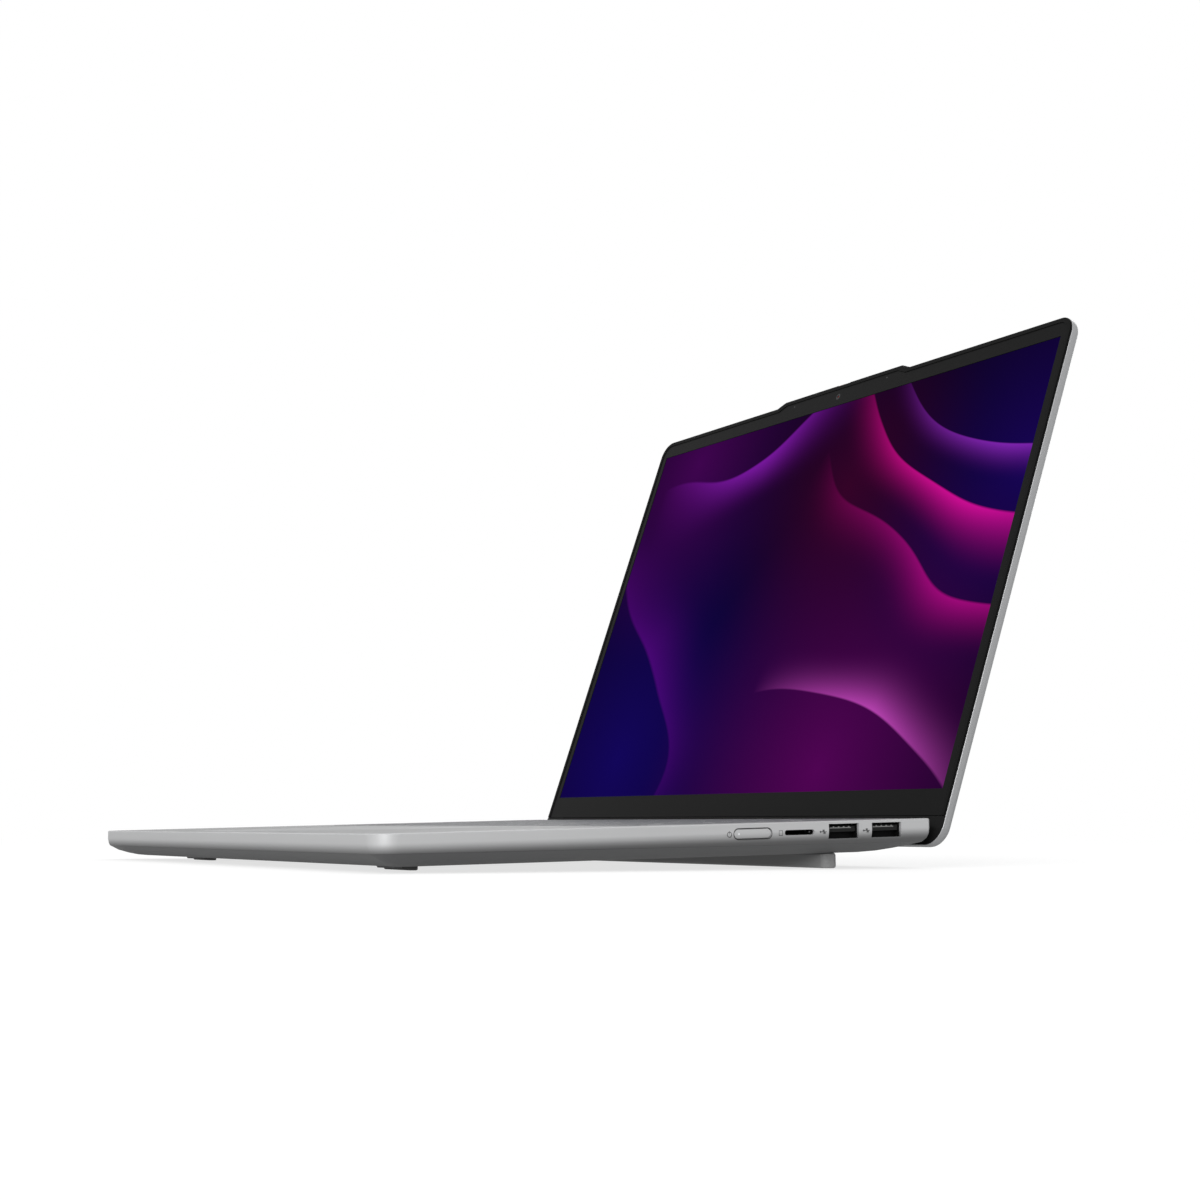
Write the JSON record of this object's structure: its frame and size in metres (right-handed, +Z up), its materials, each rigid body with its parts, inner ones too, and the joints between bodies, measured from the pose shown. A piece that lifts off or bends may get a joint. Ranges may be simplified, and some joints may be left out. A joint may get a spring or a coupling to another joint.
{
  "type": "laptop computer",
  "caption": "Clamshell laptop in grey aluminium, open on its feet, with a low keyboard and touchpad, side sockets, a sprung power button and a lid with a lit display on friction hinges.",
  "frame": {"origin": "Bottom centre of the bounding box of the open laptop, on the table under the feet", "axes": "+X to the right of the person who types (along the width, the longest extent), +Y to the rear, away from that person, +Z up"},
  "size_m": [0.313, 0.297, 0.217],
  "materials": {
    "case_grey": "fine blasted, satin",
    "cover_grey": "fine blasted, darker grey, satin",
    "key_grey": "fine matte coat",
    "pad_grey": "etched, matte",
    "black_plastic": "matte",
    "hinge_black": "black satin paint",
    "gloss_black": "gloss",
    "rubber_black": "matte",
    "steel": "plain",
    "socket_steel": "plated",
    "copper": "bare copper",
    "board": "solder mask",
    "battery_black": "matte film",
    "display": "lit panel behind glass",
    "shutter_red": "matte"
  },
  "bodies": {
    "base": {"top_case": "case_grey", "bottom_cover": "cover_grey", "keyboard_plate": "steel", "main_board": "board", "io_board": "board", "io_ribbon": "black_plastic", "heat_pipe": "copper", "heat_fins": "copper", "fan_housing_left": "black_plastic", "fan_housing_right": "black_plastic", "battery_pack": "battery_black", "ssd_module": "board", "wireless_card": "board", "speaker_left": "black_plastic", "speaker_right": "black_plastic", "touchpad_bracket": "steel", "usb_a_port_front": "socket_steel", "usb_a_port_rear": "socket_steel", "card_reader": "socket_steel", "hdmi_port": "socket_steel", "usb_c_ports": "socket_steel", "audio_jack": "black_plastic", "power_switch": "black_plastic", "hinge_knuckle_left": "hinge_black", "hinge_knuckle_right": "hinge_black", "front_foot_left": "rubber_black", "front_foot_right": "rubber_black", "rear_foot": "rubber_black", "bottom_screws": "steel"},
    "lid": {"lid_shell": "case_grey", "lid_bezel": "gloss_black", "lid_strip": "rubber_black", "display_panel": "display", "hinge_cover": "gloss_black", "camera_module": "black_plastic", "hinge_arm_left": "steel", "hinge_arm_right": "steel", "hinge_pin_left": "steel", "hinge_pin_right": "steel", "antennas": "board", "lid_magnets": "steel"},
    "shutter": {"camera_shutter": "shutter_red"},
    "power": {"power_button": "case_grey"},
    "pad": {"touchpad": "pad_grey"},
    "fan_left": {"fan_impeller_left": "black_plastic"},
    "fan_right": {"fan_impeller_right": "black_plastic"},
    "function_row_keys": {"keys_function_row": "key_grey"},
    "number_row_keys": {"keys_number_row": "key_grey"},
    "upper_row_keys": {"keys_upper_row": "key_grey"},
    "home_row_keys": {"keys_home_row": "key_grey"},
    "lower_row_keys": {"keys_lower_row": "key_grey"},
    "modifiers_keys": {"keys_modifiers": "key_grey"},
    "space_key": {"key_space": "key_grey"},
    "enter_key": {"key_enter": "key_grey"},
    "backspace_key": {"key_backspace": "key_grey"},
    "shift_left_key": {"key_shift_left": "key_grey"},
    "shift_right_key": {"key_shift_right": "key_grey"},
    "arrows_keys": {"keys_arrows": "key_grey"}
  },
  "joints": [
    {"name": "lid_hinge", "type": "hinge", "parent": "base", "child": "lid", "pos_m": [0, 0.06869, 0.01429], "axis": [1, 0, 0], "range_deg": [-54, 110.9]},
    {"name": "shutter_slide", "type": "slide", "parent": "lid", "child": "shutter", "axis": [1, 0, 0], "range_m": [0, 0.004]},
    {"name": "power_press", "type": "slide", "parent": "base", "child": "power", "axis": [-1, 0, 0], "range_m": [0, 0.0005], "stiffness_N_per_m": 2500},
    {"name": "touchpad_click", "type": "hinge", "parent": "base", "child": "pad", "pos_m": [0, -0.05955, 0.01413], "axis": [1, 0, 0], "range_deg": [0, 0.35], "stiffness_Nm_per_rad": 20},
    {"name": "fan_left_spin", "type": "hinge", "parent": "base", "child": "fan_left", "pos_m": [-0.078, 0.01425, 0.01156], "axis": [0, -0.0262, 0.9997], "continuous": true},
    {"name": "fan_right_spin", "type": "hinge", "parent": "base", "child": "fan_right", "pos_m": [0.078, 0.01425, 0.01156], "axis": [0, -0.0262, 0.9997], "continuous": true},
    {"name": "function_row_press", "type": "slide", "parent": "base", "child": "function_row_keys", "axis": [0, 0.0262, -0.9997], "range_m": [0, 0.0013], "stiffness_N_per_m": 450},
    {"name": "number_row_press", "type": "slide", "parent": "base", "child": "number_row_keys", "axis": [0, 0.0262, -0.9997], "range_m": [0, 0.0013], "stiffness_N_per_m": 450},
    {"name": "upper_row_press", "type": "slide", "parent": "base", "child": "upper_row_keys", "axis": [0, 0.0262, -0.9997], "range_m": [0, 0.0013], "stiffness_N_per_m": 450},
    {"name": "home_row_press", "type": "slide", "parent": "base", "child": "home_row_keys", "axis": [0, 0.0262, -0.9997], "range_m": [0, 0.0013], "stiffness_N_per_m": 450},
    {"name": "lower_row_press", "type": "slide", "parent": "base", "child": "lower_row_keys", "axis": [0, 0.0262, -0.9997], "range_m": [0, 0.0013], "stiffness_N_per_m": 450},
    {"name": "modifiers_row_press", "type": "slide", "parent": "base", "child": "modifiers_keys", "axis": [0, 0.0262, -0.9997], "range_m": [0, 0.0013], "stiffness_N_per_m": 450},
    {"name": "space_press", "type": "slide", "parent": "base", "child": "space_key", "axis": [0, 0.0262, -0.9997], "range_m": [0, 0.0013], "stiffness_N_per_m": 450},
    {"name": "enter_press", "type": "slide", "parent": "base", "child": "enter_key", "axis": [0, 0.0262, -0.9997], "range_m": [0, 0.0013], "stiffness_N_per_m": 450},
    {"name": "backspace_press", "type": "slide", "parent": "base", "child": "backspace_key", "axis": [0, 0.0262, -0.9997], "range_m": [0, 0.0013], "stiffness_N_per_m": 450},
    {"name": "shift_left_press", "type": "slide", "parent": "base", "child": "shift_left_key", "axis": [0, 0.0262, -0.9997], "range_m": [0, 0.0013], "stiffness_N_per_m": 450},
    {"name": "shift_right_press", "type": "slide", "parent": "base", "child": "shift_right_key", "axis": [0, 0.0262, -0.9997], "range_m": [0, 0.0013], "stiffness_N_per_m": 450},
    {"name": "arrows_press", "type": "slide", "parent": "base", "child": "arrows_keys", "axis": [0, 0.0262, -0.9997], "range_m": [0, 0.0013], "stiffness_N_per_m": 450}
  ]
}
